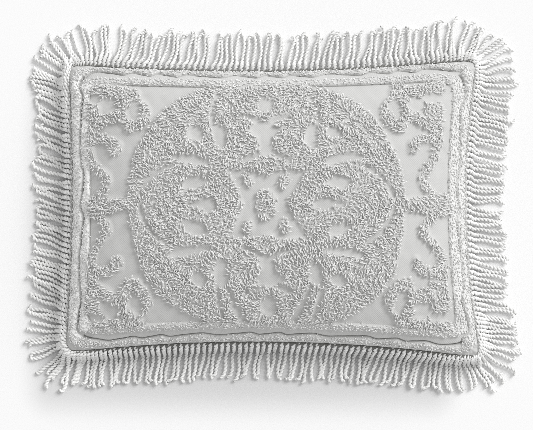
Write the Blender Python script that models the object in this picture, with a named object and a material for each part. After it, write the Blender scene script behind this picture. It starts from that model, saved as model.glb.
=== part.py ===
"""A fringed, tufted pillow sham with its filling, lying face up on a flat surface.

Units are metres and +Z is up. X runs along the long sides and Y along the short ones.
The origin is on the surface, under the middle of the sham. The pieces are the filled sham,
sewn shut along one seam, and a cord fringe on a narrow heading along each of its four sides.
"""

import math

import bmesh
import bpy
import numpy as np

# Size of the filled sham from seam to seam. Its flat cut is 0.69 by 0.51.
HALF_LENGTH = 0.327
HALF_WIDTH = 0.2335
# Each side curves in towards its middle, the right end and the bottom side the most
END_DRAW_IN = 0.018
END_SKEW = 0.007
SIDE_DRAW_IN = 0.0198
SIDE_SKEW = -0.0018
# The right end is a little wider than the left one
END_FLARE = 0.004
# With these two the sides meet at each corner in one smooth bend
CORNER_ROUNDING = 0.0231
CORNER_POWER = 24

# Heights of the filling
SEAM_HEIGHT = 0.044
CORNER_SAG = 0.008
CROWN = 0.078
BELLY = 0.078
FILL_POWER = 2.5
EDGE_POWER = 0.58
# Soft unevenness of the filling, as two waves. Columns: rate along u, rate along v, shift
LUMP_HEIGHT = 0.0018
LUMP_WAVES = ((5.1, 2.3, 0.4), (-4.3, 3.7, 1.9))

# Lines of face points, as shares of the half size. Those of the border follow the ribs.
BORDER_LINES_X = (1.0, 0.988, 0.970, 0.958, 0.946, 0.925, 0.898)
BORDER_LINES_Y = (1.0, 0.988, 0.950, 0.931, 0.912, 0.880, 0.845)
INNER_LINES_X = 25
INNER_LINES_Y = 17
BELLY_LOOPS = (0.95, 0.82, 0.68)

# Tufted relief. Chart sizes are plan sizes from the middle of the chart.
TUFT_RISE = 0.006
TUFT_SHOULDER = 0.005
# Half size of the cells over which the normal of the face is taken, as a share
NORMAL_STEP = 0.002
CHART_X = -0.010
CHART_Y = -0.0015
RIB_CORNER_POWER = 20
# Ribs. Columns: share of the half length, share of the half width, width
RIBS = ((0.978, 0.966, 0.008), (0.932, 0.890, 0.012))
MEDALLION_HALF_LENGTH = 0.212
MEDALLION_HALF_WIDTH = 0.193
MEDALLION_POWER = 2.4
PANEL_HALF_HEIGHT = 0.049
PANEL_WAIST = 0.033
PANEL_SPREAD = 0.024
# Windows of bare cloth, one quarter. Columns: centre x, centre y, half size x, half size y
WINDOWS = (
    (0.110, 0.036, 0.016, 0.009),
    (0.094, 0.000, 0.020, 0.011),
    (0.121, 0.072, 0.026, 0.008),
    (0.071, 0.104, 0.010, 0.017),
    (0.105, 0.112, 0.011, 0.010),
    (0.000, 0.104, 0.017, 0.024),
    (0.000, 0.152, 0.012, 0.012),
)
# Tufted buds, one quarter. Columns as for the windows
BUDS = (
    (0.000, 0.000, 0.018, 0.024),
    (0.027, 0.034, 0.010, 0.014),
    (0.000, 0.060, 0.020, 0.016),
    (0.207, 0.121, 0.020, 0.012),
    (0.228, 0.094, 0.010, 0.012),
)
# Tufted stems, one quarter. Columns: start x and y, bend x and y, end x and y, width
STEMS = (
    (0.214, 0.170, 0.160, 0.148, 0.206, 0.118, 0.017),
    (0.214, 0.170, 0.232, 0.150, 0.214, 0.130, 0.014),
    (0.206, 0.172, 0.240, 0.178, 0.278, 0.186, 0.016),
    (0.236, 0.176, 0.264, 0.160, 0.260, 0.140, 0.018),
    (0.260, 0.150, 0.254, 0.125, 0.264, 0.096, 0.020),
    (0.264, 0.096, 0.268, 0.068, 0.246, 0.052, 0.014),
    (0.246, 0.052, 0.230, 0.036, 0.254, 0.016, 0.014),
    (0.280, 0.000, 0.245, 0.000, 0.205, 0.000, 0.024),
)
STEM_STEPS = 9

# Fringe of twisted cord. Its heading lies against the seam.
HEADING_WIDTH = 0.0035
HEADING_THICKNESS = 0.003
SEAM_GAP = 0.0007
HEADING_END_GAP = 0.0008
STRAND_WIDTH = 0.0048
SURFACE_CLEARANCE = 0.0004
# Corners of a strand's square section: sideways and upwards
RING_CORNERS = ((1, 1), (-1, 1), (-1, -1), (1, -1))
# A strand leaves the heading, falls to the surface and rests level on it.
# These are the shares of its length where each stretch ends.
ROOT_END = 0.07
FALL_END = 0.52
# Its rings, by the root, where it lands and at the tip. Columns: ring's tilt as a share of
# the slope, and share of the curl by then
RINGS = ((0.8, 0.1), (0.5, 0.8), (0.0, 1.0))
LENGTH_CHANGE = 0.003
LEAN = 0.10
CURL = 0.12
# Slow, uneven waves along the fringe. Columns: rate per strand, share of the shift
RIPPLE_WAVES = ((0.31, 1.0), (0.173, 2.1))
LENGTH_RATE = 1.7
LENGTH_SHIFT = 2.5
LEAN_SHIFT = 1.0
CURL_SHIFT = 4.0
# Each side leans one way in its middle stretch and stands straight at its corners
LEAN_REACH = 0.080
SEAM_SAMPLES = 2001
# Sides. Columns: name, corner it starts from, corner it ends at, strands, strand length, lean
SIDES = (
    ("fringe_top", (-1, 1), (1, 1), 80, 0.0965, -0.10),
    ("fringe_right", (1, 1), (1, -1), 58, 0.0935, -0.16),
    ("fringe_bottom", (1, -1), (-1, -1), 80, 0.0905, -0.12),
    ("fringe_left", (-1, -1), (-1, 1), 56, 0.0950, -0.24),
)

COTTON = (0.72, 0.72, 0.71, 1.0)
CORD_COTTON = (0.76, 0.76, 0.75, 1.0)
COTTON_ROUGHNESS = 0.95


def clear_scene():
    for obj in list(bpy.data.objects):
        bpy.data.objects.remove(obj)


def cotton(name, colour):
    """A matt cotton finish."""
    material = bpy.data.materials.new(name)
    material.use_nodes = True
    shader = material.node_tree.nodes["Principled BSDF"]
    shader.inputs["Base Color"].default_value = colour
    shader.inputs["Roughness"].default_value = COTTON_ROUGHNESS
    shader.inputs["Metallic"].default_value = 0.0
    return material


def plan(u, v):
    """Plan position at shares u and v of the half length and half width."""
    rounding = 1 - CORNER_ROUNDING * np.abs(u * v) ** CORNER_POWER
    x = u * (HALF_LENGTH - (END_DRAW_IN + END_SKEW * u) * (1 - v * v))
    y = v * (HALF_WIDTH - (SIDE_DRAW_IN + SIDE_SKEW * v) * (1 - u * u) + END_FLARE * u)
    return x * rounding, y * rounding


def seam_height(u, v):
    return SEAM_HEIGHT - CORNER_SAG * (u * v) ** 2


def fullness(u, v):
    """How full the filling is, from 0 on the seam to 1 in the middle."""
    along = np.clip(1 - np.abs(u) ** FILL_POWER, 0, 1) ** EDGE_POWER
    across = np.clip(1 - np.abs(v) ** FILL_POWER, 0, 1) ** EDGE_POWER
    return along * across


def face_height(u, v):
    """Height of the crowned face, with the soft unevenness of the filling."""
    waves = [np.sin(rate_u * u + rate_v * v + shift) for rate_u, rate_v, shift in LUMP_WAVES]
    lumps = sum(waves) / len(waves)
    return seam_height(u, v) + fullness(u, v) * (CROWN + LUMP_HEIGHT * lumps)


def back_height(u, v):
    """Height of the underside, pressed flat where it rests on the surface."""
    return np.maximum(seam_height(u, v) - BELLY * fullness(u, v), 0.0)


def distance_to_bud(x, y, bud):
    centre_x, centre_y, half_x, half_y = bud
    share = np.hypot((x - centre_x) / half_x, (y - centre_y) / half_y)
    return (share - 1) * min(half_x, half_y)


def distance_to_stem(x, y, stem):
    """Distance to a curved stem. It runs from start to end and is pulled towards its bend."""
    start_x, start_y, bend_x, bend_y, end_x, end_y, width = stem
    nearest = np.full(x.shape, np.inf)
    for t in np.linspace(0, 1, STEM_STEPS):
        point_x = (1 - t) ** 2 * start_x + 2 * t * (1 - t) * bend_x + t * t * end_x
        point_y = (1 - t) ** 2 * start_y + 2 * t * (1 - t) * bend_y + t * t * end_y
        nearest = np.minimum(nearest, np.hypot(x - point_x, y - point_y))
    return nearest - width / 2


def distance_to_rib(u, v, rib):
    """Distance to a border rib, which is a rectangle with rounded corners."""
    along, across, width = rib
    power = RIB_CORNER_POWER
    share = (np.abs(u / along) ** power + np.abs(v / across) ** power) ** (1 / power)
    return np.abs(share - 1) * (HALF_LENGTH + HALF_WIDTH) / 2 - width / 2


def distance_to_tufts(u, v):
    """Distance to the edge of the tufted figure, negative inside it. Its quarters are alike."""
    x, y = plan(u, v)
    x = np.abs(x - CHART_X)
    y = np.abs(y - CHART_Y)
    share_x = (x / MEDALLION_HALF_LENGTH) ** MEDALLION_POWER
    share_y = (y / MEDALLION_HALF_WIDTH) ** MEDALLION_POWER
    share = (share_x + share_y) ** (1 / MEDALLION_POWER)
    figure = (share - 1) * (MEDALLION_HALF_LENGTH + MEDALLION_HALF_WIDTH) / 2
    panel_side = PANEL_WAIST + PANEL_SPREAD * np.clip(y / PANEL_HALF_HEIGHT, 0, 1)
    figure = np.maximum(figure, -np.maximum(x - panel_side, y - PANEL_HALF_HEIGHT))
    for window in WINDOWS:
        figure = np.maximum(figure, -distance_to_bud(x, y, window))
    for bud in BUDS:
        figure = np.minimum(figure, distance_to_bud(x, y, bud))
    for stem in STEMS:
        figure = np.minimum(figure, distance_to_stem(x, y, stem))
    for rib in RIBS:
        figure = np.minimum(figure, distance_to_rib(u, v, rib))
    return figure


def smooth_face(u, v):
    x, y = plan(u, v)
    return np.stack([x, y, face_height(u, v)], axis=-1)


def tufted_face(u, v):
    """Points of the face, raised along its normal where it is tufted. The seam stays as it is."""
    step = NORMAL_STEP
    near_u = np.clip(u, step - 1, 1 - step)
    near_v = np.clip(v, step - 1, 1 - step)
    along = smooth_face(near_u + step, near_v) - smooth_face(near_u - step, near_v)
    across = smooth_face(near_u, near_v + step) - smooth_face(near_u, near_v - step)
    normal = np.cross(along, across)
    normal /= np.linalg.norm(normal, axis=-1, keepdims=True)
    rise = TUFT_RISE * np.clip(0.5 - distance_to_tufts(u, v) / TUFT_SHOULDER, 0, 1)
    rise[(np.abs(u) == 1) | (np.abs(v) == 1)] = 0
    return smooth_face(u, v) + normal * rise[:, None]


def face_lines(border, inner_count):
    """Positions of the lines of face points, from one seam to the other."""
    inner = np.linspace(-border[-1], border[-1], 2 * inner_count + 1)
    outer = np.array(border[:-1])
    return np.concatenate([-outer, inner, outer[::-1]])


def filled_sham(material):
    """One solid: a grid for the face, and loops of its rim drawn in underneath it."""
    lines_x = face_lines(BORDER_LINES_X, INNER_LINES_X)
    lines_y = face_lines(BORDER_LINES_Y, INNER_LINES_Y)
    cells_x = len(lines_x) - 1
    cells_y = len(lines_y) - 1
    bm = bmesh.new()
    bmesh.ops.create_grid(bm, x_segments=cells_x, y_segments=cells_y, size=1)
    places = np.array([vertex.co[:2] for vertex in bm.verts])
    u = lines_x[np.rint((places[:, 0] + 1) / 2 * cells_x).astype(int)]
    v = lines_y[np.rint((places[:, 1] + 1) / 2 * cells_y).astype(int)]
    shares = {vertex: share for vertex, share in zip(bm.verts, zip(u, v))}
    for vertex, point in zip(bm.verts, tufted_face(u, v)):
        vertex.co = point
    rim = [edge for edge in bm.edges if edge.is_boundary]
    for loop in BELLY_LOOPS:
        rim, shares = drawn_in_loop(bm, rim, shares, loop)
    bmesh.ops.edgeloop_fill(bm, edges=rim)
    return add_object("filled_sham", bm, material)


def drawn_in_loop(bm, rim, shares, loop):
    """Extrudes the rim and places the new loop on the underside, at a share of the seam's size."""
    extruded = bmesh.ops.extrude_edge_only(bm, edges=rim)["geom"]
    new_rim = [item for item in extruded if isinstance(item, bmesh.types.BMEdge)]
    new_shares = {}
    for vertex in (item for item in extruded if isinstance(item, bmesh.types.BMVert)):
        neighbours = (edge.other_vert(vertex) for edge in vertex.link_edges)
        seam_u, seam_v = next(shares[other] for other in neighbours if other in shares)
        new_shares[vertex] = (seam_u, seam_v)
        u = seam_u * loop
        v = seam_v * loop
        x, y = plan(u, v)
        vertex.co = (x, y, back_height(u, v))
    return new_rim, new_shares


def seam_sections(corner_from, corner_to, count):
    """Seam point, height and outward direction at places spaced evenly along the heading."""
    t = np.linspace(0, 1, SEAM_SAMPLES)
    u = corner_from[0] + (corner_to[0] - corner_from[0]) * t
    v = corner_from[1] + (corner_to[1] - corner_from[1]) * t
    seam = np.stack(plan(u, v), axis=-1)
    along = np.gradient(seam, axis=0)
    outward = np.stack([-along[:, 1], along[:, 0]], axis=-1)
    outward /= np.linalg.norm(outward, axis=-1, keepdims=True)
    far = seam + outward * (SEAM_GAP + HEADING_WIDTH)
    run = np.concatenate([[0], np.cumsum(np.linalg.norm(np.diff(far, axis=0), axis=-1))])
    places = np.linspace(HEADING_END_GAP, run[-1] - HEADING_END_GAP, count)
    columns = (*seam.T, seam_height(u, v), *outward.T)
    x, y, height, outward_x, outward_y = (np.interp(places, run, column) for column in columns)
    return np.stack([x, y], axis=-1), height, np.stack([outward_x, outward_y], axis=-1)


def ripple(place, shift):
    """A slow, uneven wave along the fringe, from -1 to 1."""
    waves = [math.sin(rate * place + share * shift) for rate, share in RIPPLE_WAVES]
    return sum(waves) / len(waves)


def strand_rings(root, height, outward, lean, place, length):
    """Square rings of one strand: by its root, where it meets the surface, and at its tip."""
    half = STRAND_WIDTH / 2
    length += LENGTH_CHANGE * ripple(LENGTH_RATE * place, LENGTH_SHIFT)
    rest_height = half + SURFACE_CLEARANCE
    fall_share = FALL_END - ROOT_END / 2
    slope = math.asin((height - rest_height) / (fall_share * length))
    root_reach = ROOT_END * length * math.cos(slope / 2)
    fall_reach = (FALL_END - ROOT_END) * length * math.cos(slope)
    rest_reach = (1 - FALL_END) * length
    root_height = height - ROOT_END * length * math.sin(slope / 2)
    heading = math.atan2(outward[1], outward[0]) + lean + LEAN * ripple(place, LEAN_SHIFT)
    turn = CURL * ripple(place, CURL_SHIFT)
    reaches = (root_reach, fall_reach, rest_reach)
    ring_heights = (root_height, rest_height, rest_height)
    centre = np.array([root[0], root[1], height])
    rings = []
    for reach, ring_height, (tilt_share, turned) in zip(reaches, ring_heights, RINGS):
        angle = heading + turn * turned
        tilt = tilt_share * slope
        direction = np.array([math.cos(angle), math.sin(angle), 0])
        side = np.array([-math.sin(angle), math.cos(angle), 0])
        centre = centre + reach * direction
        centre[2] = ring_height
        up = direction * math.sin(tilt) + np.array([0, 0, math.cos(tilt)])
        rings.append([centre + half * (a * side + b * up) for a, b in RING_CORNERS])
    return rings


def fringe(name, corner_from, corner_to, strands, length, lean, first_place, material):
    """A heading along one side of the seam, with a strand extruded from each outer face."""
    points, heights, outward = seam_sections(corner_from, corner_to, strands + 1)
    near = points + outward * SEAM_GAP
    far = points + outward * (SEAM_GAP + HEADING_WIDTH)
    half = HEADING_THICKNESS / 2
    side_length = np.linalg.norm(points[-1] - points[0])
    bm = bmesh.new()
    sections = []
    for near_point, far_point, height in zip(near, far, heights):
        corners = ((near_point, half), (far_point, half), (far_point, -half), (near_point, -half))
        sections.append([bm.verts.new((*point, height + rise)) for point, rise in corners])
    for before, after in zip(sections, sections[1:]):
        for a, b in ((0, 1), (2, 3), (3, 0)):
            bm.faces.new((before[a], after[a], after[b], before[b]))
    bm.faces.new(sections[0])
    bm.faces.new(sections[-1][::-1])
    for index in range(strands):
        before, after = sections[index], sections[index + 1]
        loop = [before[1], after[1], after[2], before[2]]
        middle = (far[index] + far[index + 1]) / 2
        height = (heights[index] + heights[index + 1]) / 2
        direction = outward[index] + outward[index + 1]
        from_corner = min(index + 1, strands - index) / strands * side_length
        strand_lean = lean * min(from_corner / LEAN_REACH, 1)
        place = first_place + index
        for ring in strand_rings(middle, height, direction, strand_lean, place, length):
            next_loop = [bm.verts.new(point) for point in ring]
            for a in range(4):
                b = (a + 1) % 4
                bm.faces.new((loop[a], loop[b], next_loop[b], next_loop[a]))
            loop = next_loop
        bm.faces.new(loop)
    return add_object(name, bm, material)


def add_object(name, bm, material):
    bmesh.ops.recalc_face_normals(bm, faces=bm.faces)
    mesh = bpy.data.meshes.new(name)
    bm.to_mesh(mesh)
    bm.free()
    mesh.materials.append(material)
    obj = bpy.data.objects.new(name, mesh)
    bpy.context.scene.collection.objects.link(obj)
    return obj


def main():
    clear_scene()
    filled_sham(cotton("tufted cotton", COTTON))
    cord = cotton("cord cotton", CORD_COTTON)
    first_place = 0
    for name, corner_from, corner_to, strands, length, lean in SIDES:
        fringe(name, corner_from, corner_to, strands, length, lean, first_place, cord)
        first_place += strands


main()
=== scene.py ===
import math

import bpy
import numpy as np
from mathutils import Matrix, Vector


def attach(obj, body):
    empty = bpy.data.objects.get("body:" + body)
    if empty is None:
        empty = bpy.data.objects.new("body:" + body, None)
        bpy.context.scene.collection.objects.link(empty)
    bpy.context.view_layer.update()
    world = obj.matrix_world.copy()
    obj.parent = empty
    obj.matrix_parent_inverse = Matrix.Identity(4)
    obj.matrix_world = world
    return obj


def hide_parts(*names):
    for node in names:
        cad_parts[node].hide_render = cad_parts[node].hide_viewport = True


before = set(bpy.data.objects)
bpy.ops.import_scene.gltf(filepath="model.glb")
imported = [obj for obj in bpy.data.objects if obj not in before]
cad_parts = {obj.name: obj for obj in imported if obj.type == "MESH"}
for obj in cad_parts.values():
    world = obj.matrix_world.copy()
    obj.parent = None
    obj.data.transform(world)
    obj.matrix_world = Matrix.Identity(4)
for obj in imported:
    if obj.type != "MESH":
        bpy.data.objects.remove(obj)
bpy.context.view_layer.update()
dice = np.random.default_rng(31)
mm = 0.001
tiny = 1e-12

# the filled form, with the same numbers as the CAD part
sham = {
    "halfLength": 0.327, "halfWidth": 0.2335,
    "endDrawIn": 0.018, "endSkew": 0.007, "sideDrawIn": 0.0198, "sideSkew": -0.0018,
    "endFlare": 0.004,
    "cornerRounding": 0.0231, "cornerPower": 24,
    "seamHeight": 0.044, "cornerSag": 0.008,
    "crown": 0.078, "belly": 0.078, "fillPower": 2.5, "edgePower": 0.58,
    "lumpHeight": 0.0018,
    "lumps": ((5.1, 2.3, 0.4), (-4.3, 3.7, 1.9)),  # rates along u and v, and start
    "tangentStep": 0.002, "arcPoints": 4001,
}


def smoothStep(t):
    # 0 below 0, 1 above 1, and 3t^2 - 2t^3 between
    t = np.clip(t, 0, 1)
    return t * t * (3 - 2 * t)


def waveMean(x, y, waves):
    # mean of one sine for each wave: its two rates times x and y, plus its start
    return sum(np.sin(rateX * x + rateY * y + start) for rateX, rateY, start in waves) / len(waves)


def bentWave(along, across, wave):
    # a sine along one way, its phase swung by a sine of the other way
    length, bend, bendLength, start = wave
    return np.sin(along / length + bend * np.sin(across / bendLength + start))


def unit(vectors):
    # each vector over its own length
    return vectors / np.linalg.norm(vectors, axis=-1, keepdims=True)


def seamPlan(u, v):
    # plan place at shares u and v of the half size: sides drawn in by a parabola, corners rounded
    rounding = 1 - sham["cornerRounding"] * np.abs(u * v) ** sham["cornerPower"]
    endDraw = (sham["endDrawIn"] + sham["endSkew"] * u) * (1 - v * v)
    sideDraw = (sham["sideDrawIn"] + sham["sideSkew"] * v) * (1 - u * u)
    x = u * (sham["halfLength"] - endDraw)
    y = v * (sham["halfWidth"] - sideDraw + sham["endFlare"] * u)
    return x * rounding, y * rounding


def seamHeight(u, v):
    # level along the sides, sagging with the square of u times v at the corners
    return sham["seamHeight"] - sham["cornerSag"] * (u * v) ** 2


def fullness(u, v):
    # (1 - |u|^fill)^edge times the same in v
    along = np.clip(1 - np.abs(u) ** sham["fillPower"], 0, 1) ** sham["edgePower"]
    across = np.clip(1 - np.abs(v) ** sham["fillPower"], 0, 1) ** sham["edgePower"]
    return along * across


def facePoint(u, v):
    # seam height plus fullness times the crown, with two slow sine lumps of the filling
    x, y = seamPlan(u, v)
    crown = sham["crown"] + sham["lumpHeight"] * waveMean(u, v, sham["lumps"])
    return np.stack([x, y, seamHeight(u, v) + fullness(u, v) * crown], axis=-1)


def faceFrame(u, v):
    # unit tangents along u and v and their cross product, from central differences
    step = sham["tangentStep"]
    nearU, nearV = np.clip(u, step - 1, 1 - step), np.clip(v, step - 1, 1 - step)
    along = unit(facePoint(nearU + step, nearV) - facePoint(nearU - step, nearV))
    across = unit(facePoint(nearU, nearV + step) - facePoint(nearU, nearV - step))
    return along, across, unit(np.cross(along, across))


def arcTable(axis):
    # surface length from the middle of the face out along one middle line, against the share
    share = np.linspace(-1, 1, sham["arcPoints"])
    still = np.zeros_like(share)
    points = facePoint(share, still) if axis == 0 else facePoint(still, share)
    run = np.concatenate([[0], np.cumsum(np.linalg.norm(np.diff(points, axis=0), axis=-1))])
    return run - run[len(run) // 2], share


arcX, shareX = arcTable(0)
arcY, shareY = arcTable(1)

# the tufted chart, drawn for one quarter in millimetres from the medallion's middle
chart = {
    "centreX": -10.0, "centreY": -1.5, "slant": -0.02,
    # the warp: its size, and its waves' rates along x and y and their starts
    "warp": 1.6,
    "warpX": ((1 / 47, 1 / 83, 0.7), (-1 / 95, 1 / 39, 2.1)),
    "warpY": ((-1 / 71, 1 / 43, 1.3), (1 / 36, 1 / 99, 4.0)),
    "leftSprayShift": 7, "leftSprayFrom": 215, "leftSprayFade": 30,
    "medallion": (212, 193, 2.4),     # half length, half width, power
    "panel": (33, 24, 49, 1.3),       # waist, spread, half height, power of the spread
    # columns: centre x, centre y, half size x, half size y, turn in degrees
    "windows": (
        (110, 36, 16, 8.5, -15),
        (88, 0, 13, 11, 0),
        (119, 71, 24, 5.5, 9),
        (71, 104, 9, 17, -8),
        (105, 112, 10.5, 9.5, 0),
        (0, 113, 19, 10, 0),
        (0, 96, 9, 20, 0),
        (0, 152, 12, 12, 0),
    ),
    "buds": (
        (0, 0, 19.5, 25, 0),
        (27, 34.5, 9.5, 14.5, -10),
        (0, 60, 20, 17, 0),
        (207, 121, 20, 12, 0),
        (226, 92, 8.5, 11.5, 0),
        (239, 143, 12, 5, -20),
    ),
    # columns: start x and y, bend x and y, end x and y, width at start and end
    "slits": (
        (98, 0, 108, 0, 118, 0, 8, 3),
        (12, 126, 22, 131, 36, 134, 5, 4),
        (8, 80, 20, 70, 36, 67, 3, 3),
        (80, 122, 80, 148, 70, 170, 3, 3),
        (150, 58, 178, 46, 193, 14, 4, 3),
    ),
    # these only below the middle
    "lowerSlits": (
        (64, 124, 57, 150, 36, 177, 2, 9),
        (193, 14, 195, 0, 193, -8, 3, 3),
    ),
    "stems": (
        (214, 170, 160, 148, 206, 118, 21, 20),
        (214, 170, 230, 150, 217, 131, 18, 19),
        (204, 177, 240, 182, 272, 188, 24, 22),
        (244, 180, 266, 166, 266, 146, 20, 28),
        (264, 150, 262, 125, 268, 100, 34, 24),
        (222, 141, 240, 137, 262, 122, 17, 26),
        (226, 84, 228, 108, 258, 102, 16, 19),
        (264, 96, 268, 68, 246, 52, 17, 16),
        (246, 52, 230, 36, 254, 16, 16, 18),
        (280, 0, 245, 0, 205, 0, 36, 22),
    ),
    "stemSteps": 10,
    # columns as for the windows
    "sprayWindows": (
        (200, 151, 8, 12, 0),
        (232, 154, 6, 5, 0),
        (227, 116, 8, 8.5, 0),
        (259, 170, 9.5, 6, 0),
    ),
    "ribOverlap": 4,                  # how far the figure runs in under the inner rib
    # the border: shares at the left, right, bottom and top sides
    "bandOutside": (0.993, 0.993, 0.985, 0.986),
    "bandInside": (0.8985, 0.8960, 0.838, 0.852),
    "grooveOutside": (0.9435, 0.9530, 0.940, 0.950),
    "grooveInside": (0.9385, 0.9480, 0.893, 0.910),
    "bandPower": (20, 6),             # of the corner's bend, and of the blend between the half sizes
    "endLead": 0.09,                  # half length less half width, about, for a split at 45 degrees
    # the groove's wander at the same four sides, in millimetres
    "wander": (3.0, 3.2, 2.0, 2.6),
    "wanderRun": (15, 14, 9.5, 8.5),
    "wanderStart": (1, 2, 4, 3),
    "wanderDrift": (1.3, 31),         # size and length of a slow change in its run
    "wanderSaw": 0.6,                 # how far its sine leans towards a saw
    "grooveFollow": (1, 1, 0.2, 0.2),  # how much of it the groove's inner edge follows
    # shares of the painted shade in the folds at the groove, at the seam and at the inner rib's edge,
    # and of the painted light on the ribs
    "breaks": (0.75, 0.6, 0.15, 0.6),
    "groovePaintedShade": (0.7, 0.45, 1.0, 1.0),
    "seamPaintedShade": (0.2, 0.15, 1.0, 0.85),
    "innerPaintedShade": (0.7, 0.25, 0.1, 0.9),
    "ribPaintedLight": (1.0, 0.5, 0.0, 0.1),
}


def chartPlace(u, v):
    # millimetres from the medallion's middle, with a slow warp so that no two quarters are alike
    x, y = seamPlan(u, v)
    y = y / mm - chart["centreY"]
    x = x / mm - chart["centreX"] - chart["slant"] * y
    warpedX = x + chart["warp"] * waveMean(x, y, chart["warpX"])
    warpedY = y + chart["warp"] * waveMean(x, y, chart["warpY"])
    leftward = (-warpedX - chart["leftSprayFrom"]) / chart["leftSprayFade"]
    return warpedX + chart["leftSprayShift"] * np.clip(leftward, 0, 1), warpedY


def budDistance(x, y, bud):
    # scaled radius of a turned ellipse, less one, times its smaller half size
    centreX, centreY, halfX, halfY, turn = bud
    cosine, sine = math.cos(math.radians(turn)), math.sin(math.radians(turn))
    across, up = x - centreX, y - centreY
    share = np.hypot((across * cosine + up * sine) / halfX, (up * cosine - across * sine) / halfY)
    return (share - 1) * min(halfX, halfY)


def stemDistance(x, y, stem):
    # distance to a quadratic curve cut into short straight runs, less half its tapering width
    startX, startY, bendX, bendY, endX, endY, widthStart, widthEnd = stem
    steps = chart["stemSteps"]
    t = np.linspace(0, 1, steps + 1)
    lineX = (1 - t) ** 2 * startX + 2 * t * (1 - t) * bendX + t * t * endX
    lineY = (1 - t) ** 2 * startY + 2 * t * (1 - t) * bendY + t * t * endY
    nearest = np.full(x.shape, np.inf)
    for k in range(steps):
        runX, runY = lineX[k + 1] - lineX[k], lineY[k + 1] - lineY[k]
        along = ((x - lineX[k]) * runX + (y - lineY[k]) * runY) / (runX * runX + runY * runY)
        along = np.clip(along, 0, 1)
        width = widthStart + (widthEnd - widthStart) * (k + along) / steps
        away = np.hypot(x - lineX[k] - along * runX, y - lineY[k] - along * runY)
        nearest = np.minimum(nearest, away - width / 2)
    return nearest


def bandDistance(u, v, shares):
    # millimetres outside a rounded rectangle through its four shares, by the power norm
    power, blend = chart["bandPower"]
    left, right, bottom, top = shares
    longU = np.abs(u) / np.where(u < 0, left, right)
    longV = np.abs(v) / np.where(v < 0, bottom, top)
    share = (longU ** power + longV ** power) ** (1 / power)
    weight = longU ** blend / (longU ** blend + longV ** blend + tiny)
    drawnLength = sham["halfLength"] - sham["endDrawIn"] * (1 - weight)
    drawnWidth = sham["halfWidth"] - sham["sideDrawIn"] * weight
    return (share - 1) * (drawnLength * weight + drawnWidth * (1 - weight)) / mm


def nearEnd(u, v):
    # true where the left or right side is nearer than the bottom or top side
    return np.abs(u) * sham["halfLength"] > np.abs(v) * sham["halfWidth"] + chart["endLead"]


def bySide(u, v, values):
    # the value of the side that is nearest, in the order left, right, bottom, top
    left, right, bottom, top = values
    return np.where(nearEnd(u, v), np.where(u < 0, left, right), np.where(v < 0, bottom, top))


def creaseRun(u, v):
    # how far along its side a place is, in radians of the side's wave, with a slow sine drift
    x, y = seamPlan(u, v)
    run = np.where(nearEnd(u, v), y, x) / mm
    drift, driftLength = chart["wanderDrift"]
    start = bySide(u, v, chart["wanderStart"])
    return run / bySide(u, v, chart["wanderRun"]) + drift * np.sin(run / driftLength) + start


def creaseWave(u, v):
    # how far the groove's outer edge wanders, in millimetres: a sine bent towards a saw
    turns = creaseRun(u, v)
    return bySide(u, v, chart["wander"]) * np.sin(turns + chart["wanderSaw"] * np.sin(turns))


def ribDistance(u, v):
    # distance to the two border ribs, with the groove's outer edge wandering as it goes
    band = np.maximum(bandDistance(u, v, chart["bandOutside"]),
                      -bandDistance(u, v, chart["bandInside"]))
    wave = creaseWave(u, v)
    outer = bandDistance(u, v, chart["grooveOutside"]) - wave
    inner = wave * bySide(u, v, chart["grooveFollow"]) - bandDistance(u, v, chart["grooveInside"])
    return np.maximum(band, -np.maximum(outer, inner)) * mm


def figureDistance(u, v):
    # medallion less its panel and windows, joined with its buds and stems: negative inside.
    # The second result is the medallion's own scaled radius, 1 at its edge
    x, y = chartPlace(u, v)
    lower = y < 0
    x, y = np.abs(x), np.abs(y)
    halfLength, halfWidth, power = chart["medallion"]
    share = ((x / halfLength) ** power + (y / halfWidth) ** power) ** (1 / power)
    figure = (share - 1) * (halfLength + halfWidth) / 2
    waist, spread, halfHeight, spreadPower = chart["panel"]
    side = waist + spread * np.clip(y / halfHeight, 0, 1) ** spreadPower
    figure = np.maximum(figure, -np.maximum(x - side, y - halfHeight))
    for window in chart["windows"]:
        figure = np.maximum(figure, -budDistance(x, y, window))
    for slit in chart["slits"]:
        figure = np.maximum(figure, -stemDistance(x, y, slit))
    for slit in chart["lowerSlits"]:
        figure = np.maximum(figure, np.where(lower, -stemDistance(x, y, slit), -np.inf))
    for bud in chart["buds"]:
        figure = np.minimum(figure, budDistance(x, y, bud))
    for stem in chart["stems"]:
        figure = np.minimum(figure, stemDistance(x, y, stem))
    for window in chart["sprayWindows"]:
        figure = np.maximum(figure, -budDistance(x, y, window))
    inside = bandDistance(u, v, chart["bandInside"]) - chart["ribOverlap"]
    return np.maximum(figure, inside) * mm, share


def addObject(name, data):
    # a new object with this data, linked to the scene
    made = bpy.data.objects.new(name, data)
    bpy.context.scene.collection.objects.link(made)
    return made


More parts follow.
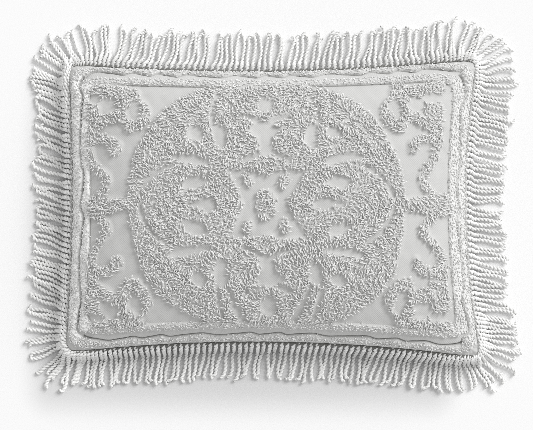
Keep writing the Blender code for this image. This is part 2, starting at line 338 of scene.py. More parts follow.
def pieceFromArrays(name, points, corners, sizes, material, layers=None, uv=None):
    # one mesh from a point array, the faces' corners end to end, and the corners of each face
    mesh = bpy.data.meshes.new(name)
    mesh.vertices.add(len(points))
    mesh.vertices.foreach_set("co", np.asarray(points, np.float32).ravel())
    mesh.loops.add(len(corners))
    mesh.loops.foreach_set("vertex_index", np.asarray(corners, np.int32))
    mesh.polygons.add(len(sizes))
    starts = np.concatenate([[0], np.cumsum(sizes)[:-1]])
    mesh.polygons.foreach_set("loop_start", np.asarray(starts, np.int32))
    mesh.polygons.foreach_set("use_smooth", np.ones(len(sizes), bool))
    for layer, values in (layers or {}).items():
        mesh.attributes.new(layer, "FLOAT", "POINT").data.foreach_set(
            "value", np.asarray(values, np.float32).ravel())
    if uv is not None:
        mesh.uv_layers.new(name="along").data.foreach_set(
            "uv", np.asarray(uv, np.float32)[np.asarray(corners)].ravel())
    mesh.update(calc_edges=True)
    mesh.validate()
    mesh.materials.append(material)
    piece = addObject(name, mesh)
    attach(piece, "root")
    triangles = int(np.sum(np.asarray(sizes) - 2))
    print(name, len(points), "points", triangles, "triangles")
    return piece


def tubeFaces(count, rings, around):
    # corners and sizes of many like tubes: quads between rings, and a flat cap at each end
    ring, turn = np.meshgrid(np.arange(rings - 1), np.arange(around), indexing="ij")
    after = (turn + 1) % around
    quads = np.stack([ring * around + turn, ring * around + after,
                      (ring + 1) * around + after, (ring + 1) * around + turn], axis=-1).reshape(-1)
    caps = np.concatenate([np.arange(around)[::-1], np.arange(around) + (rings - 1) * around])
    one = np.concatenate([quads, caps])
    sizes = np.concatenate([np.full(len(quads) // 4, 4), [around, around]])
    corners = (one[None, :] + (np.arange(count) * rings * around)[:, None]).reshape(-1)
    return corners, np.tile(sizes, count)


class Finish:
    # one node material; node() adds any node and gives back its output as a Wire
    def __init__(self, name, **constants):
        self.material = bpy.data.materials.new(name)
        self.material.use_nodes = True
        self.tree = self.material.node_tree
        self.shader = self.tree.nodes["Principled BSDF"]
        self.set(**constants)

    def node(self, kind, settings=None, sockets=None, output=0):
        made = self.tree.nodes.new(kind)
        for key, value in (settings or {}).items():
            setattr(made, key, value)
        for key, value in (sockets or {}).items():
            self.feed(made.inputs[key], value)
        return Wire(self, made.outputs[output])

    def feed(self, socket, value):
        # a Wire is linked, and anything else is the socket's own value
        if isinstance(value, Wire):
            self.tree.links.new(value.socket, socket)
        else:
            socket.default_value = value

    def set(self, **sockets):
        # sockets of the shader by name, with _ for each space
        for socket, value in sockets.items():
            self.feed(self.shader.inputs[socket.replace("_", " ")], value)

    def layer(self, name):
        # a number that the mesh has for each of its points
        return self.node("ShaderNodeAttribute", {"attribute_name": name}, output="Fac")

    def split(self, vector):
        # the first two parts of a vector
        first = self.node("ShaderNodeSeparateXYZ", None, {0: vector})
        return first, Wire(self, first.socket.node.outputs[1])

    def noise(self, scale, detail, roughness=0.5):
        # noise over the piece's own place
        place = self.node("ShaderNodeTexCoord", output="Object")
        return self.node("ShaderNodeTexNoise", None, {
            "Vector": place, "Scale": scale, "Detail": detail, "Roughness": roughness})

    def mix(self, share, first, second):
        # the first colour at share 0, the second at share 1
        return self.node("ShaderNodeMix", {"data_type": "RGBA"},
                         {0: share, 6: first, 7: second}, output=2)

    def bump(self, height, strength, distance):
        # a normal tilted by the slope of the height, 1 being the distance in metres
        return self.node("ShaderNodeBump", None, {
            "Strength": strength, "Distance": distance, "Height": height})


class Wire:
    # a socket in plain arithmetic: each operator adds its Math node
    def __init__(self, finish, socket):
        self.finish, self.socket = finish, socket

    def maths(self, operation, first, second=None):
        sockets = {0: first} if second is None else {0: first, 1: second}
        return self.finish.node("ShaderNodeMath", {"operation": operation}, sockets)

    def __add__(self, other): return self.maths("ADD", self, other)
    def __radd__(self, other): return self.maths("ADD", other, self)
    def __sub__(self, other): return self.maths("SUBTRACT", self, other)
    def __rsub__(self, other): return self.maths("SUBTRACT", other, self)
    def __mul__(self, other): return self.maths("MULTIPLY", self, other)
    def __rmul__(self, other): return self.maths("MULTIPLY", other, self)
    def __pow__(self, other): return self.maths("POWER", self, other)
    def __abs__(self): return self.maths("ABSOLUTE", self)
    def sine(self): return self.maths("SINE", self)
    def atLeast(self, least): return self.maths("MAXIMUM", self, least)


cotton = {
    "light": (0.655, 0.655, 0.645, 1), "dark": (0.535, 0.535, 0.525, 1),
    # the colours of the painted shade in the folds and at the seam, and of the painted light on the
    # ribs
    "paintedShade": (0.20, 0.20, 0.19, 1), "paintedLight": (0.92, 0.92, 0.91, 1),
    "roughness": 0.94, "sheen": 0.12, "shine": 0.2,
    "threadPitch": 0.0034, "weaveDepth": 0.00036,
    "blotch": (26.0, 3.0), "slub": (900.0, 2.0),  # scale and detail of the noise
    # shares of blotch, slub and weave in the tone, and of weave and slub in the relief
    "tone": (0.6, 0.4, 0.14), "relief": (0.5, 0.8), "reliefStrength": 0.6,
}


def wovenCotton():
    # plain weave: sine of the warp place times sine of the weft place, on the cloth's own map
    finish = Finish("wovenCotton", Roughness=cotton["roughness"], Sheen_Weight=cotton["sheen"],
                    Specular_IOR_Level=cotton["shine"])
    warp, weft = finish.split(finish.node("ShaderNodeUVMap", {"uv_map": "along"}))
    turns = 2 * math.pi / cotton["threadPitch"]
    weave = (warp * turns).sine() * (weft * turns).sine()
    slub, blotch = finish.noise(*cotton["slub"]), finish.noise(*cotton["blotch"])
    blotchShare, slubShare, weaveShare = cotton["tone"]
    shade = blotch * blotchShare + slub * slubShare + weave * weaveShare
    cloth = finish.mix(shade, cotton["dark"], cotton["light"])
    # painted light on the ribs, then painted shade in the groove's fold, at the seam and along the
    # inner rib's edge
    cloth = finish.mix(finish.layer("paintedLight"), cloth, cotton["paintedLight"])
    colour = finish.mix(finish.layer("paintedShade"), cloth, cotton["paintedShade"])
    weaveHeight, slubHeight = cotton["relief"]
    relief = finish.bump(weave * weaveHeight + slub * slubHeight,
                         cotton["reliefStrength"], cotton["weaveDepth"])
    finish.set(Base_Color=colour, Normal=relief)
    return finish.material


pile = {
    "roughness": 0.96, "sheen": 0.25, "shine": 0.15,
    "fibreDetail": 3.0, "fibreRoughness": 0.65, "tintShare": 0.5, "reliefStrength": 0.8,
    # columns: name, light tone, dark tone, fibre scale, relief depth, depth of the painted shade in
    # the "root" layer
    "yarns": (
        ("tuftYarn", (1.0, 1.0, 0.99, 1), (0.64, 0.64, 0.63, 1), 1500.0, 0.0004, 0.66),
        ("twistedCord", (1.0, 1.0, 0.99, 1), (0.66, 0.66, 0.65, 1), 1300.0, 0.0003, 1.0),
        # its dark tone is the colour of the seam's painted shade
        ("headingBraid", (0.90, 0.90, 0.89, 1), (0.20, 0.20, 0.19, 1), 1300.0, 0.0003, 0.6),
    ),
}


def pileCotton(name, light, dark, fibre, depth, paintedShadeDepth):
    # tone: a layer of random tone, which on the heading carries the seam's painted shade, and fine
    # fibre noise in shares, less the root layer's painted shade times its depth
    finish = Finish(name, Roughness=pile["roughness"], Sheen_Weight=pile["sheen"],
                    Specular_IOR_Level=pile["shine"])
    fluff = finish.noise(fibre, pile["fibreDetail"], pile["fibreRoughness"])
    tinted = finish.layer("toneAndPaintedShade") * pile["tintShare"] + fluff * (1 - pile["tintShare"])
    shade = tinted - finish.layer("root") * paintedShadeDepth
    finish.set(Base_Color=finish.mix(shade, dark, light),
               Normal=finish.bump(fluff, pile["reliefStrength"], depth))
    return finish.material


clothFinish = wovenCotton()
tuftFinish, cordFinish, headingFinish = (pileCotton(*yarn) for yarn in pile["yarns"])
print("materials made")

# heights and depths in metres, lengths along the cloth in millimetres
cover = {
    "linesX": 300, "linesY": 222,
    "foldLines": (2.6, 0.006),        # how many times more lines at a fold, and how far off, in metres
    "rise": 0.0020, "shoulder": 3.0, "dome": 0.0016, "domeReach": 7.0,
    "parting": 0.0016, "partingPitch": 20, "partingWidth": 2.0,
    "mound": 0.0012, "moundEdge": 4,
    "pucker": 0.0005, "bareEdge": 4,
    # bent waves: length, bend, the bend's length and its start; the others: rates and start
    "patches": ((19, 2, 27, 0), ((-1 / 47, 1 / 23, 0),)),
    "mounds": ((5.3, 1.7, 17, 0), (6.1, 1.4, 13, 0)),
    "puckers": (((4.1, 1.9, 13, 0), ((1 / 31, 1 / 9.7, 0),)),
                ((4.7, 1.6, 15, 1), ((1 / 11.3, -1 / 27, 0),))),
    "creaseDepth": 0.0036, "creaseWidth": 1.0, "creasePlace": 0.4,
    "creaseBreak": (0.5, 0.9, 2.6),   # middle, swing and start of the broken stretches
    # widths of the painted shade at the seam and at the inner rib's edge, the gap that keeps it off
    # the figure, and the edge of the painted light on the ribs
    "seamLine": 1.7, "innerWidth": 0.9, "innerGap": 3, "paintedLightEdge": 2,
    "gather": 0.0010, "gatherStart": 1.5, "gatherReach": 7, "gathers": (2.3, 1.2, 9.1, 0),
    "gatherSwell": (0.6, 0.4, 17, 2),  # middle, swing, length and start of the folds' size
    "gatherBack": 0.4,                # on the back, no more than this share of the height
    "backLoops": (0.990, 0.975, 0.96, 0.94, 0.92, 0.90, 0.88, 0.86, 0.83, 0.79, 0.74, 0.68),
}


def creaseShare(u, v):
    # 1 in the fold along the groove's outer edge, a bell curve to each side, broken where its
    # wave turns back
    edge = bandDistance(u, v, chart["grooveOutside"]) - creaseWave(u, v)
    fold = np.exp(-((edge + cover["creasePlace"]) / cover["creaseWidth"]) ** 2)
    middle, swing, start = cover["creaseBreak"]
    broken = smoothStep(middle - swing * np.cos(creaseRun(u, v) + start))
    return fold * (1 - bySide(u, v, chart["breaks"]) * broken)


def innerShadeShare(u, v, figure):
    # painted shade's share: 1 along the inner rib's inner edge, a bell curve to each side, where no
    # figure joins it
    edge = bandDistance(u, v, chart["bandInside"])
    clear = smoothStep(figure / mm / cover["innerGap"] + 0.5)
    return np.exp(-(edge / cover["innerWidth"]) ** 2) * clear


def coverRise(u, v, distance):
    # raised under the tufts by smooth steps, soft puckers on the bare cloth, less the groove's fold
    x, y = seamPlan(u, v)
    x, y, distance = x / mm, y / mm, distance / mm
    inward = np.maximum(-distance, 0)
    rise = cover["rise"] * smoothStep(inward / cover["shoulder"])
    rise = rise + cover["dome"] * np.sin(np.pi / 2 * np.clip(inward / cover["domeReach"], 0, 1))
    # partings between rows of tufts, a set way in from every edge, and slow mounds
    row = inward / cover["partingPitch"]
    away = (row - np.maximum(np.rint(row), 1)) * cover["partingPitch"]
    patch, patchCross = cover["patches"]
    patchy = (1 + bentWave(x, y, patch) * waveMean(x, y, patchCross)) / 2
    rise = rise - cover["parting"] * patchy * np.exp(-(away / cover["partingWidth"]) ** 2)
    moundX, moundY = cover["mounds"]
    mound = bentWave(x, y, moundX) * bentWave(y, x, moundY)
    rise = rise + cover["mound"] * mound * smoothStep(inward / cover["moundEdge"])
    (puckerX, crossX), (puckerY, crossY) = cover["puckers"]
    pucker = (bentWave(x, y, puckerX) * waveMean(x, y, crossX)
              + bentWave(y, x, puckerY) * waveMean(x, y, crossY)) / 2
    bare = smoothStep(distance / cover["bareEdge"])
    return rise + cover["pucker"] * pucker * bare - cover["creaseDepth"] * creaseShare(u, v)


def seamGather(u, v):
    # small sine folds that start at the seam and die out some way in, on the face and the back alike
    x, y = seamPlan(u, v)
    run = np.where(np.abs(u) > np.abs(v), y, x) / mm
    inward = (1 - np.maximum(np.abs(u), np.abs(v))) * sham["halfLength"] / mm
    middle, swing, length, start = cover["gatherSwell"]
    folds = bentWave(run, run, cover["gathers"]) * (middle + swing * np.sin(run / length + start))
    near = smoothStep(inward / cover["gatherStart"]) * np.exp(-inward / cover["gatherReach"])
    return cover["gather"] * folds * near


def coverLines(arc, share, count, folds):
    # shares of the grid's lines, evenly spaced over the surface but closer near the folds
    closer, reach = cover["foldLines"]
    density = np.ones_like(arc)
    for fold in folds:
        density += closer * np.exp(-((arc - np.interp(fold, share, arc)) / reach) ** 2)
    filled = np.concatenate([[0], np.cumsum((density[1:] + density[:-1]) / 2 * np.diff(arc))])
    lines = np.interp(np.linspace(0, filled[-1], count), filled, share)
    lines[[0, -1]] = -1, 1
    return lines


def coverLayers(u, v, figure, rib, faceMap):
    # painted shade by the darkest of three bell curves: at the groove's fold, the seam and the inner
    # rib's edge; painted light by a smooth step into the ribs
    fromEnds = np.minimum(faceMap[:, 0] - arcX[0], arcX[-1] - faceMap[:, 0])
    fromSides = np.minimum(faceMap[:, 1] - arcY[0], arcY[-1] - faceMap[:, 1])
    away = np.minimum(fromEnds, fromSides) / mm
    seamShare = np.exp(-(away / cover["seamLine"]) ** 2)
    dark = np.maximum(bySide(u, v, chart["groovePaintedShade"]) * creaseShare(u, v),
                      bySide(u, v, chart["seamPaintedShade"]) * seamShare)
    dark = np.maximum(dark, bySide(u, v, chart["innerPaintedShade"]) * innerShadeShare(u, v, figure))
    # painted light: the cloth paler inside the ribs, by the side's share
    paintedLight = bySide(u, v, chart["ribPaintedLight"]) * smoothStep(-rib / mm / cover["paintedLightEdge"])
    return {"paintedShade": dark, "paintedLight": paintedLight}


def makeCover():
    # the face on a grid of u and v, then loops of the rim that shrink over the back to a flat middle
    folds = chart["grooveOutside"], chart["bandInside"]
    foldsU = [end for left, right, _, _ in folds for end in (-left, right)]
    foldsV = [end for _, _, bottom, top in folds for end in (-bottom, top)]
    lineU = coverLines(arcX, shareX, cover["linesX"], foldsU)
    lineV = coverLines(arcY, shareY, cover["linesY"], foldsV)
    u, v = (grid.ravel() for grid in np.meshgrid(lineU, lineV))
    figure, _ = figureDistance(u, v)
    rib = ribDistance(u, v)
    onSeam = (np.abs(u) > 1 - tiny) | (np.abs(v) > 1 - tiny)
    rise = coverRise(u, v, np.minimum(figure, rib)) + seamGather(u, v)
    _, _, normal = faceFrame(u, v)
    face = facePoint(u, v) + normal * np.where(onSeam, 0, rise)[:, None]
    faceMap = np.stack([np.interp(u, shareX, arcX), np.interp(v, shareY, arcY)], axis=-1)
    # the rim of the face, anticlockwise
    nx, ny = len(lineU), len(lineV)
    grid = np.arange(nx * ny).reshape(ny, nx)
    rim = np.concatenate([grid[0, :-1], grid[:-1, -1], grid[-1, :0:-1], grid[:0:-1, 0]])
    quads = np.stack([grid[:-1, :-1], grid[:-1, 1:], grid[1:, 1:], grid[1:, :-1]], axis=-1)
    loops, maps, faces = [face], [faceMap], [quads.reshape(-1, 4)]
    last, base = rim, nx * ny
    for share in cover["backLoops"]:
        rimU, rimV = u[rim] * share, v[rim] * share
        x, y = seamPlan(rimU, rimV)
        height = np.maximum(seamHeight(rimU, rimV) - sham["belly"] * fullness(rimU, rimV), 0)
        fold = np.minimum(seamGather(rimU, rimV), cover["gatherBack"] * height)
        loops.append(np.stack([x, y, height + fold * (height > 0)], axis=-1))
        maps.append(faceMap[rim] * share)
        new = base + np.arange(len(rim))
        faces.append(np.stack([last, new, np.roll(new, -1), np.roll(last, -1)], axis=-1))
        last, base = new, base + len(rim)
    corners = np.concatenate([np.concatenate(faces).reshape(-1), last[::-1]])
    sizes = np.concatenate([np.full(sum(map(len, faces)), 4), [len(last)]])
    points = np.concatenate(loops)
    # the back has none of the face's painted shade and painted light
    back = np.zeros(len(points) - len(face))
    layers = {name: np.concatenate([values, back])
              for name, values in coverLayers(u, v, figure, rib, faceMap).items()}
    piece = pieceFromArrays("shamCover", points, corners, sizes, clothFinish,
                            layers, np.concatenate(maps))
    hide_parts("filled_sham")


makeCover()

tuft = {
    "pitch": 0.0035, "jitter": 0.36, "faceEdge": 0.995, "medallionEdge": 1.02,
    "margin": 0.0018, "borderMargin": 0.0006,
    "length": (0.0055, 0.0085), "borderLength": 0.55, "radius": (0.00085, 0.00120),
    "leanRoot": (10, 45), "leanTip": (75, 120),  # degrees from upright
    "stray": 0.7, "borderStray": 0.55,
    # the slow flow of the tufts' directions: size, rates along x and y, start
    "flow": ((2.4, 1 / 0.043, 0, 1), (2.8, 0, 1 / 0.037, 0), (1.7, 1 / 0.061, 1 / 0.061, 0)),
    "ringShares": (0.0, 0.4, 0.75, 1.0), "ringRadii": (0.80, 1.0, 1.0, 0.6),
    "sides": 4, "bury": 0.0008, "pathSteps": 40,
}


def tuftPlaces():
    # staggered rows over the face at an even surface pitch, each place jittered
    pitch, edge = tuft["pitch"], tuft["faceEdge"]
    row = pitch * math.sqrt(3) / 2
    across = np.arange(arcY[0] + row / 2, arcY[-1], row)
    along = np.arange(arcX[0] + pitch / 4, arcX[-1] - pitch / 2, pitch)
    placeX, placeY = np.meshgrid(along, across)
    placeX = placeX + np.where(np.arange(len(across)) % 2, pitch / 2, 0)[:, None]
    shape = placeX.shape
    placeX = placeX + dice.uniform(-1, 1, shape) * tuft["jitter"] * pitch
    placeY = placeY + dice.uniform(-1, 1, shape) * tuft["jitter"] * pitch
    return (np.clip(np.interp(placeX.ravel(), arcX, shareX), -edge, edge),
            np.clip(np.interp(placeY.ravel(), arcY, shareY), -edge, edge))


def tuftPiece(name, u, v, distance):
    # each tuft is a short fat yarn end: it rises from the cloth and bends over in its own direction
    count, sides, border = len(u), tuft["sides"], name == "borderTufts"
    along, across, normal = faceFrame(u, v)
    if border:
        # along the rib, one way or the other
        flow = bySide(u, v, (np.pi / 2, np.pi / 2, 0, 0)) + np.pi * dice.integers(0, 2, count)
    else:
        x, y = seamPlan(u, v)
        flow = sum(size * np.sin(rateX * x + rateY * y + start)
                   for size, rateX, rateY, start in tuft["flow"])
    turn = (flow + dice.normal(0, tuft["borderStray" if border else "stray"], count))[:, None]
    lean = along * np.cos(turn) + across * np.sin(turn)
    lean = unit(lean - normal * np.sum(lean * normal, axis=-1, keepdims=True))
    side = np.cross(normal, lean)
    length = dice.uniform(*tuft["length"], count)[:, None, None]
    length = length * (tuft["borderLength"] if border else 1)
    radius = dice.uniform(*tuft["radius"], count)[:, None, None, None]
    angleRoot = np.radians(dice.uniform(*tuft["leanRoot"], count))[:, None]
    angleTip = np.radians(dice.uniform(*tuft["leanTip"], count))[:, None]
    # the path: the direction's angle changes evenly, and its short steps are added up
    steps = tuft["pathSteps"]
    angle = (angleRoot + (angleTip - angleRoot) * np.linspace(0, 1, steps + 1))[..., None]
    direction = np.cos(angle) * normal[:, None] + np.sin(angle) * lean[:, None]
    runs = (direction[:, 1:] + direction[:, :-1]) / 2 / steps
    path = np.concatenate([np.zeros((count, 1, 3)), np.cumsum(runs, axis=1)], axis=1) * length
    shares = np.array(tuft["ringShares"])
    rings = np.rint(shares * steps).astype(int)
    path, direction = path[:, rings], direction[:, rings]
    foot = facePoint(u, v) + normal * (coverRise(u, v, distance) - tuft["bury"])[:, None]
    path = path + foot[:, None]
    upward = np.cross(direction, side[:, None])
    phase = dice.uniform(0, 2 * np.pi, (count, 1, 1)) + np.arange(sides) * 2 * np.pi / sides
    spread = radius * np.array(tuft["ringRadii"])[None, :, None, None]
    points = path[:, :, None] + spread * (np.cos(phase)[..., None] * side[:, None, None]
                                          + np.sin(phase)[..., None] * upward[:, :, None])
    corners, sizes = tubeFaces(count, len(shares), sides)
    toneAndPaintedShade = np.repeat(dice.uniform(0, 1, count), len(shares) * sides)
    # painted shade: darker towards each tuft's root
    root = np.tile(np.repeat(1 - shares, sides), count) ** 2
    pieceFromArrays(name, points.reshape(-1, 3), corners, sizes, tuftFinish,
                    {"toneAndPaintedShade": toneAndPaintedShade, "root": root})


def makeTufts():
    # a tuft at each place that lies far enough inside the ribs or the figure, sorted into pieces
    u, v = tuftPlaces()
    figure, share = figureDistance(u, v)
    rib = ribDistance(u, v)
    distance = np.minimum(figure, rib)
    inFigure = (distance < -tuft["margin"]) & (rib >= figure)
    inMedallion = inFigure & (share < tuft["medallionEdge"])
    regions = {
        "borderTufts": (rib < figure) & (rib < -tuft["borderMargin"]),
        "upperMedallionTufts": inMedallion & (v >= 0),
        "lowerMedallionTufts": inMedallion & (v < 0),
        "sprayTufts": inFigure & ~inMedallion,
    }
    for name, chosen in regions.items():
        tuftPiece(name, u[chosen], v[chosen], distance[chosen])


makeTufts()

fringe = {
    "headingWidth": 0.0035, "headingThickness": 0.003, "seamGap": 0.0007, "headingEndGap": 0.0008,
    "seamPoints": 2001, "sectionPoints": 400,
    "strandWidth": 0.0060, "restHeight": 0.0036, "restStray": 0.0012, "rootOverlap": 0.0034,
    "fallEnd": 0.53, "fallRamp": 0.25, "leastStride": 0.3,
    "lengthChange": 0.003, "lengthStray": 0.0026,
    "lean": 0.07, "leanFade": 0.08, "curl": 0.08, "stray": 0.036,
    "fan": 0.68, "fanReach": 0.040, "crowd": 1.3, "cornerShort": 0.07,
    "waver": 0.16, "waverTurns": (1.2, 2.4), "waverFade": 0.5,
    "ripples": ((0.31, 1.0), (0.173, 2.1)),  # rate from strand to strand, share of the start
    "lengthRipple": (1.7, 2.5), "leanRipple": (1.0, 1.0), "curlRipple": (1.0, 4.0),  # rate, start
    "rings": 46, "stepsPerRing": 8, "twistPitch": 0.0125,
    "section": (1.0, 0.9, 0.46, 0.9, 1.0, 0.9, 0.46, 0.9),
    "tipCurl": (0.5, 2.2), "tipShare": 0.13,
    # places along a strand, and its thickness there: full at the heading, rounded off at the tip
    "thickness": ((0, 0.03, 0.3, 0.55, 0.94, 0.98, 1), (0.9, 1.17, 1.15, 1, 1.05, 0.9, 0.4)),
    # painted shade in the plies' valleys against paler crests, and the reach along the strand of the
    # painted shade and light at the heading
    "valleyPaintedShade": 0.25, "crestPale": 0.26, "rootShadeReach": 0.45,
    # columns: name, corner it starts from, corner it ends at, strands, strand length, lean,
    # share of the width, painted shade on the strands at the heading (painted light where below 0)
    "sides": (
        ("fringe_top", (-1, 1), (1, 1), 80, 0.097, -0.12, 1.0, 0.75),
        ("fringe_right", (1, 1), (1, -1), 64, 0.096, -0.14, 1.05, 0.1),
        ("fringe_bottom", (1, -1), (-1, -1), 80, 0.087, -0.15, 1.0, -0.2),
        ("fringe_left", (-1, -1), (-1, 1), 66, 0.095, -0.34, 1.1, -0.2),
    ),
}


def seamSections(cornerFrom, cornerTo, count):
    # seam place, height and outward direction at places evenly spaced along the heading's far edge
    t = np.linspace(0, 1, fringe["seamPoints"])
    u = cornerFrom[0] + (cornerTo[0] - cornerFrom[0]) * t
    v = cornerFrom[1] + (cornerTo[1] - cornerFrom[1]) * t
    seam = np.stack(seamPlan(u, v), axis=-1)
    along = np.gradient(seam, axis=0)
    outward = unit(np.stack([-along[:, 1], along[:, 0]], axis=-1))
    far = seam + outward * (fringe["seamGap"] + fringe["headingWidth"])
    run = np.concatenate([[0], np.cumsum(np.linalg.norm(np.diff(far, axis=0), axis=-1))])
    places = np.linspace(fringe["headingEndGap"], run[-1] - fringe["headingEndGap"], count)
    columns = (*seam.T, seamHeight(u, v), *outward.T)
    x, y, height, outX, outY = (np.interp(places, run, column) for column in columns)
    return np.stack([x, y], axis=-1), height, np.stack([outX, outY], axis=-1), places


def ripple(place, rateAndStart):
    # mean of two sines whose lengths don't match, so that it doesn't repeat
    rate, start = rateAndStart
    waves = [np.sin(each * rate * place + part * start) for each, part in fringe["ripples"]]
    return sum(waves) / len(waves)


def fromCorners(run, total):
    # 1 at the first corner and at the last, each dying away with the distance
    return np.exp(-run / fringe["fanReach"]), np.exp((run - total) / fringe["fanReach"])


def strandRoots(cornerFrom, cornerTo, strands):
    # equal shares of a density that is higher towards the corners, where the strands fan out
    seam, height, outward, run = seamSections(cornerFrom, cornerTo, fringe["sectionPoints"])
    total = run[-1] + run[0]
    crowd = 1 + fringe["crowd"] * sum(fromCorners(run, total))
    filled = np.concatenate([[0], np.cumsum((crowd[1:] + crowd[:-1]) / 2 * np.diff(run))])
    places = np.interp((np.arange(strands) + 0.5) / strands * filled[-1], filled, run)
    columns = (*seam.T, height, *outward.T)
    x, y, height, outX, outY = (np.interp(places, run, column) for column in columns)
    return np.stack([x, y], -1), height, unit(np.stack([outX, outY], -1)), places, total


def strandPaths(cornerFrom, cornerTo, strands, length, lean, place):
    # each path adds up short steps: down by its fall, and along by what is left of the step
    seam, height, outward, run, total = strandRoots(cornerFrom, cornerTo, strands)
    first, last = fromCorners(run, total)
    length = length * (1 - fringe["cornerShort"] * (first + last))
    length = length + fringe["lengthChange"] * ripple(place, fringe["lengthRipple"])
    length = (length + dice.normal(0, fringe["lengthStray"], strands))[:, None]
    fine = np.linspace(0, 1, fringe["stepsPerRing"] * (fringe["rings"] - 1) + 1)
    # the fall: its slope ramps up, holds and ramps down, and then the strand rests level
    fallen = fine / fringe["fallEnd"]
    fall = np.clip(np.minimum(fallen, 1 - fallen) / fringe["fallRamp"], 0, 1)
    fall = fall / np.sum(fall[1:])
    lift = np.abs(dice.normal(0, fringe["restStray"], strands))[:, None]
    drop = (height[:, None] - fringe["restHeight"] - lift) * fall
    step = length / (len(fine) - 1)
    stride = np.sqrt(np.maximum(step * step - drop * drop, (fringe["leastStride"] * step) ** 2))
    z = height[:, None] - np.concatenate([np.zeros((strands, 1)), np.cumsum(drop[:, 1:], 1)], 1)
    # the bearing: outwards, fanned at the corners, leaning and straying
    bearing = np.arctan2(outward[:, 1], outward[:, 0])
    bearing = bearing + fringe["lean"] * ripple(place, fringe["leanRipple"])
    leanShare = smoothStep(np.minimum(run, total - run) / fringe["leanFade"])
    bearing = bearing + fringe["fan"] * (first - last) + lean * leanShare
    bearing = bearing + dice.normal(0, fringe["stray"], strands)
    turn = fringe["curl"] * ripple(place, fringe["curlRipple"])
    turn = turn + dice.normal(0, fringe["stray"], strands)
    # about half of the tips curl each way
    tip = dice.uniform(*fringe["tipCurl"], strands)
    tip = tip * np.where(dice.uniform(0, 1, strands) < 0.5, -1, 1)
    tipStart = 1 - fringe["tipShare"]
    angle = (bearing[:, None] + turn[:, None] * smoothStep(fallen)
             + tip[:, None] * smoothStep((fine - tipStart) / fringe["tipShare"]))
    # a slow waver, nothing at the root
    phase = dice.uniform(0, 2 * np.pi, (strands, 1))
    turns = dice.uniform(*fringe["waverTurns"], (strands, 1))
    waver = np.sin(2 * np.pi * turns * fine + phase) * smoothStep(fine / fringe["waverFade"])
    angle = angle + fringe["waver"] * waver
    root = seam + outward * (fringe["seamGap"] + fringe["headingWidth"] - fringe["rootOverlap"])
    stepX, stepY = stride * np.cos(angle), stride * np.sin(angle)
    x = root[:, :1] + np.cumsum(stepX, 1) - stepX[:, :1]
    y = root[:, 1:] + np.cumsum(stepY, 1) - stepY[:, :1]
    atRings = slice(None, None, fringe["stepsPerRing"])
    return np.stack([x, y, z], axis=-1)[:, atRings], angle[:, atRings], length


def makeStrands(name, cornerFrom, cornerTo, strands, length, lean, width, rootShade, firstPlace):
    # each strand is a two-ply cord: a peanut section turned steadily along a falling path
    rings, around = fringe["rings"], len(fringe["section"])
    place = firstPlace + np.arange(strands)
    path, angle, length = strandPaths(cornerFrom, cornerTo, strands, length, lean, place)
    tangent = unit(np.gradient(path, axis=1))
    flat = np.stack([-np.sin(angle), np.cos(angle), np.zeros_like(angle)], -1)
    flat = unit(flat - tangent * np.sum(flat * tangent, -1, keepdims=True))
    upward = np.cross(tangent, flat)
    share = np.linspace(0, 1, rings)
    start = dice.uniform(0, 2 * np.pi, (strands, 1, 1))
    twist = start + (length * share)[..., None] * 2 * np.pi / fringe["twistPitch"]
    theta = (np.arange(around) * 2 * np.pi / around + twist)[..., None]
    section = np.array(fringe["section"])
    thickness = np.interp(share, *fringe["thickness"])[None, :, None]
    radius = (width * fringe["strandWidth"] / 2 * thickness * section)[..., None]
    points = path[:, :, None] + radius * (np.cos(theta) * flat[:, :, None]
                                          + np.sin(theta) * upward[:, :, None])
    corners, sizes = tubeFaces(strands, rings, around)
    toneAndPaintedShade = np.repeat(dice.uniform(0, 1, strands), rings * around)
    # the root layer: painted shade in the valleys between the plies against paler crests, and painted
    # shade at the heading, painted light where rootShade is below 0
    valley = (1 - section) / (1 - section.min()) * fringe["valleyPaintedShade"] - fringe["crestPale"]
    shade = rootShade * np.clip(1 - share / fringe["rootShadeReach"], 0, 1)
    root = np.broadcast_to(valley + shade[:, None], points.shape[:3])
    piece = pieceFromArrays(name, points.reshape(-1, 3), corners, sizes, cordFinish,
                            {"toneAndPaintedShade": toneAndPaintedShade, "root": root})
    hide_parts("fringe_" + name.replace("Strands", ""))


heading = {
    "step": 0.0011, "around": 12, "overlap": 0.0008,
    "squareness": (0.8, 0.7),         # powers of the section's cosine and sine
    "relief": 0.0010, "braidPitch": 0.0046, "braidSlant": 0.7,
    "sideRelief": 0.5, "valleyShadeShare": 0.5,
}


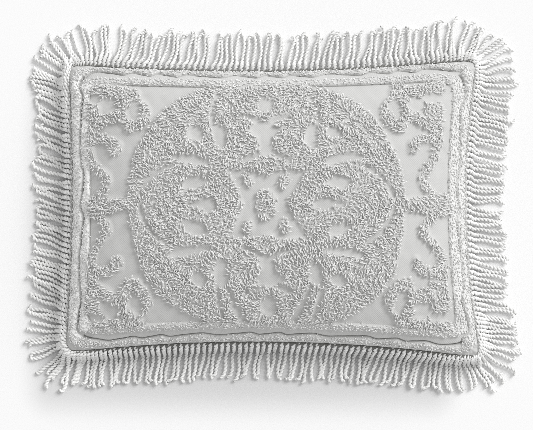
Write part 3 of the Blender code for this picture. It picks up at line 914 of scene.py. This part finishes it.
def makeHeading(name, cornerFrom, cornerTo):
    # a flat braid: an oval section carried along the seam, with chevron ridges on it; painted shade in
    # its valleys and the seam's painted shade darken it
    middleU, middleV = (np.add(cornerFrom, cornerTo) / 2)[:, None]
    # the seam's painted shade on this side, which darkens the whole heading
    dark = float(bySide(middleU, middleV, chart["seamPaintedShade"])[0])
    total = seamSections(cornerFrom, cornerTo, 2)[3][1]
    seam, height, outward, run = seamSections(cornerFrom, cornerTo, int(total / heading["step"]))
    theta = np.arange(heading["around"]) * 2 * np.pi / heading["around"]
    powerAcross, powerUp = heading["squareness"]
    across = np.sign(np.cos(theta)) * np.abs(np.cos(theta)) ** powerAcross
    upward = np.sign(np.sin(theta)) * np.abs(np.sin(theta)) ** powerUp
    phase = run[:, None] / heading["braidPitch"] + np.abs(across) * heading["braidSlant"]
    ridge = np.abs(np.sin(np.pi * phase)) - 0.5
    relief = heading["relief"] * ridge
    halfWidth = (fringe["headingWidth"] + heading["overlap"]) / 2
    side = halfWidth * (1 + across) + fringe["seamGap"] - heading["overlap"]
    side = side + relief * across * heading["sideRelief"]
    rise = upward * (fringe["headingThickness"] / 2 + relief)
    points = np.concatenate([seam[:, None] + outward[:, None] * side[..., None],
                             (height[:, None] + rise)[..., None]], axis=-1)
    corners, sizes = tubeFaces(1, len(run), heading["around"])
    # painted shade in the braid's valleys, plus the seam's painted shade
    valley = np.clip(0.5 - ridge, 0, 1) * heading["valleyShadeShare"] + dark
    pieceFromArrays(name, points.reshape(-1, 3), corners, sizes, headingFinish,
                    {"toneAndPaintedShade": np.full(valley.size, 1 - dark), "root": valley})


# the strands are counted on from side to side, so that no two sides ripple alike
firstPlace = 0
for node, cornerFrom, cornerTo, strands, *measures in fringe["sides"]:
    side = node.replace("fringe_", "")
    makeStrands(side + "Strands", cornerFrom, cornerTo, strands, *measures, firstPlace)
    makeHeading(side + "Heading", cornerFrom, cornerTo)
    firstPlace += strands
print("fringe made")

studio = {
    "floorColour": (0.93, 0.93, 0.93, 1), "floorGrain": (3.0, 2.0), "floorDarker": 0.985,
    "floorRoughness": 0.9, "floorShine": 0.1, "floorSize": 12.0, "floorDrop": 0.0004,
    # a soft shade painted round the sham: centre, half sizes, fade width and depth
    "shadeCentre": (-0.0505, -0.0555), "shadeHalf": (0.3005, 0.2325),
    "shadeFade": 0.062, "shadeDepth": 0.23,
    "worldStrength": 0.60,
    # columns: name, strength, angle in degrees, direction it comes from
    "suns": (
        ("windowLight", 1.83, 32, (0.60, 0.47, 0.65)),
        ("lowLight", 0.5, 50, (0.62, 0.66, 0.42)),
    ),
    "cameraDistance": 2.0, "elevation": 86.0, "target": (-0.0103, -0.0126, 0.044),
    "frameWidth": 0.842, "sensor": 36, "farthest": 50, "filterWidth": 0.6,
}


def makeFloor():
    # a flat square just under the sham: grain noise between two tones, darkened by a smooth step of
    # the distance outside a rectangle
    size, drop = studio["floorSize"], studio["floorDrop"]
    mesh = bpy.data.meshes.new("paleFloor")
    mesh.from_pydata([(-size, -size, -drop), (size, -size, -drop), (size, size, -drop),
                      (-size, size, -drop)], [], [(0, 1, 2, 3)])
    finish = Finish("paleFloor", Roughness=studio["floorRoughness"],
                    Specular_IOR_Level=studio["floorShine"])
    darker = (*(tone * studio["floorDarker"] for tone in studio["floorColour"][:3]), 1)
    colour = finish.mix(finish.noise(*studio["floorGrain"]), darker, studio["floorColour"])
    along, across = finish.split(finish.node("ShaderNodeTexCoord", output="Object"))
    (centreX, centreY), (halfX, halfY) = studio["shadeCentre"], studio["shadeHalf"]
    outX = (abs(along - centreX) - halfX).atLeast(0.0)
    outY = (abs(across - centreY) - halfY).atLeast(0.0)
    away = (outX * outX + outY * outY) ** 0.5
    shade = finish.node("ShaderNodeMapRange", {"interpolation_type": "SMOOTHSTEP"},
                        {"Value": away, "From Max": studio["shadeFade"],
                         "To Min": studio["shadeDepth"], "To Max": 0.0})
    finish.set(Base_Color=finish.mix(shade, colour, (0, 0, 0, 1)))
    mesh.materials.append(finish.material)
    floor = addObject("paleFloor", mesh)


def makeLight():
    # an even white sky, and suns that are turned so that their beams come from their directions
    world = bpy.data.worlds.new("softStudio")
    world.use_nodes = True
    sky = world.node_tree.nodes["Background"].inputs
    sky["Color"].default_value = (1, 1, 1, 1)
    sky["Strength"].default_value = studio["worldStrength"]
    bpy.context.scene.world = world
    for name, strength, angle, direction in studio["suns"]:
        lamp = bpy.data.lights.new(name, "SUN")
        lamp.energy, lamp.angle = strength, math.radians(angle)
        addObject(name, lamp).rotation_euler = Vector(direction).to_track_quat("Z", "Y").to_euler()


def makeCamera():
    # above the target at a distance and an elevation; lens = sensor times distance over frame width
    data = bpy.data.cameras.new("overhead")
    camera = addObject("overhead", data)
    distance, tilt = studio["cameraDistance"], math.radians(studio["elevation"])
    x, y, z = studio["target"]
    camera.location = (x, y - distance * math.cos(tilt), z + distance * math.sin(tilt))
    camera.rotation_euler = (math.pi / 2 - tilt, 0, 0)
    data.sensor_width = studio["sensor"]
    data.lens = studio["sensor"] * distance / studio["frameWidth"]
    data.clip_end = studio["farthest"]
    scene = bpy.context.scene
    scene.camera = camera
    scene.view_settings.view_transform = "Standard"
    scene.cycles.use_denoising = False
    scene.cycles.filter_width = studio["filterWidth"]


makeFloor()
makeLight()
makeCamera()
print("studio made")
